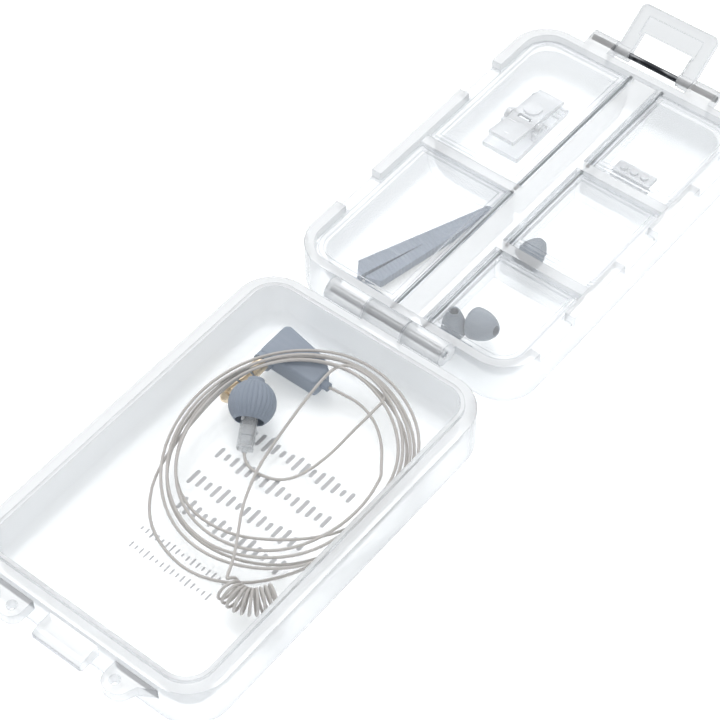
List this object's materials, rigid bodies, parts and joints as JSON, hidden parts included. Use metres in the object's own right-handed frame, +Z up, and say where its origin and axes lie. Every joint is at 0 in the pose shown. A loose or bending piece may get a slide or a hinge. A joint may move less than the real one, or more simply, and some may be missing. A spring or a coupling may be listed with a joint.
{
  "type": "in-ear monitor kit in hinged case",
  "caption": "Clear hinged pocket case lying open: an in-ear monitor on its coiled thin cable in the tray, spare tips, clip and strap under flip lids in the organiser.",
  "frame": {"origin": "on the table under the middle of the open case, halfway between its two sides and its two ends", "axes": "+X across the case along the hinge pin, +Y along its length from the tray towards the organiser and its latch, +Z up"},
  "size_m": [0.066, 0.232, 0.0211],
  "materials": {
    "clear_case": "translucent natural moulding, satin outside and clear in thin walls",
    "clear_lid": "clear flap, polished face",
    "steel_pin": "drawn steel pin",
    "dark_pin": "black oxide steel pin",
    "black_silicone": "soft black silicone, matte",
    "grey_silicone": "soft dark grey silicone, satin",
    "smoke_plastic": "smoked nozzle tube",
    "filter_mesh": "fine woven steel mesh",
    "clear_capsule": "clear moulded capsule",
    "driver_metal": "drawn nickel can",
    "cable": "thin beige jacket, slightly clear",
    "black_plastic": "fine spark-eroded black plastic",
    "black_rubber": "moulded black rubber",
    "jack_metal": "gold-coloured plating",
    "clear_clip": "frosted clear plastic",
    "black_strap": "soft black ribbed strap"
  },
  "bodies": {
    "tray": {"tray_shell": "clear_case", "lanyard_ear_left": "clear_case", "lanyard_ear_right": "clear_case", "hinge_pin": "steel_pin"},
    "organiser": {"organiser_shell": "clear_case", "latch_pin": "dark_pin", "lid_pin_left_front": "steel_pin", "lid_pin_left_rear": "steel_pin", "lid_pin_right_front": "steel_pin", "lid_pin_right_middle": "steel_pin", "lid_pin_right_rear": "steel_pin", "clip_base": "clear_clip", "clip_pin": "steel_pin", "clip_spring": "steel_pin", "spare_tip_small": "black_silicone", "spare_tip_medium": "black_silicone", "spare_tip_large": "grey_silicone", "tie_strap": "black_strap", "filter_strip": "clear_clip"},
    "latch": {"latch_flap": "clear_lid"},
    "clip_lever": {"clip_jaw": "clear_clip"},
    "monitor": {"ear_tip": "black_silicone", "sound_nozzle": "smoke_plastic", "wax_filter": "filter_mesh", "driver_body": "clear_capsule", "driver_cap": "clear_capsule", "armature_driver": "driver_metal", "monitor_strain_relief": "clear_capsule", "cable_to_monitor": "cable", "cable_coil": "cable", "cable_to_curl": "cable", "cable_curl": "cable", "cable_from_curl": "cable", "cable_to_plug": "cable", "plug_shell_lower": "black_plastic", "plug_shell_upper": "black_plastic", "plug_strain_relief": "black_rubber", "jack_sleeve": "jack_metal", "jack_insulator_rear": "black_plastic", "jack_ring": "jack_metal", "jack_insulator_front": "black_plastic", "jack_tip": "jack_metal"},
    "lid_left_front": {"lid_left_front": "clear_lid"},
    "lid_left_rear": {"lid_left_rear": "clear_lid"},
    "lid_right_front": {"lid_right_front": "clear_lid"},
    "lid_right_middle": {"lid_right_middle": "clear_lid"},
    "lid_right_rear": {"lid_right_rear": "clear_lid"}
  },
  "joints": [
    {"name": "case_hinge", "type": "hinge", "parent": "tray", "child": "organiser", "pos_m": [0, -0.00507, 0.01465], "axis": [1, 0, 0], "range_deg": [0, 180]},
    {"name": "latch_hinge", "type": "hinge", "parent": "organiser", "child": "latch", "pos_m": [0, 0.10393, 0.0129], "axis": [1, 0, 0], "range_deg": [-40, 57]},
    {"name": "clip_squeeze", "type": "hinge", "parent": "organiser", "child": "clip_lever", "pos_m": [-0.0183, 0.07393, 0.006], "axis": [1, 0, 0], "range_deg": [0, 12], "stiffness_Nm_per_rad": 0.004, "springref_deg": -14.32},
    {"name": "monitor_lift", "type": "slide", "parent": "tray", "child": "monitor", "axis": [0, 0, -1], "range_m": [-0.03, 0]},
    {"name": "lid_left_front_hinge", "type": "hinge", "parent": "organiser", "child": "lid_left_front", "pos_m": [-0.00305, 0.02358, 0.0123], "axis": [0, -1, 0], "range_deg": [-92, 0]},
    {"name": "lid_left_rear_hinge", "type": "hinge", "parent": "organiser", "child": "lid_left_rear", "pos_m": [-0.00305, 0.07333, 0.0123], "axis": [0, -1, 0], "range_deg": [-92, 0]},
    {"name": "lid_right_front_hinge", "type": "hinge", "parent": "organiser", "child": "lid_right_front", "pos_m": [0.00635, 0.01488, 0.0123], "axis": [0, 1, 0], "range_deg": [-92, 0]},
    {"name": "lid_right_middle_hinge", "type": "hinge", "parent": "organiser", "child": "lid_right_middle", "pos_m": [0.00635, 0.04773, 0.0123], "axis": [0, 1, 0], "range_deg": [-92, 0]},
    {"name": "lid_right_rear_hinge", "type": "hinge", "parent": "organiser", "child": "lid_right_rear", "pos_m": [0.00635, 0.08183, 0.0123], "axis": [0, 1, 0], "range_deg": [-92, 0]}
  ]
}
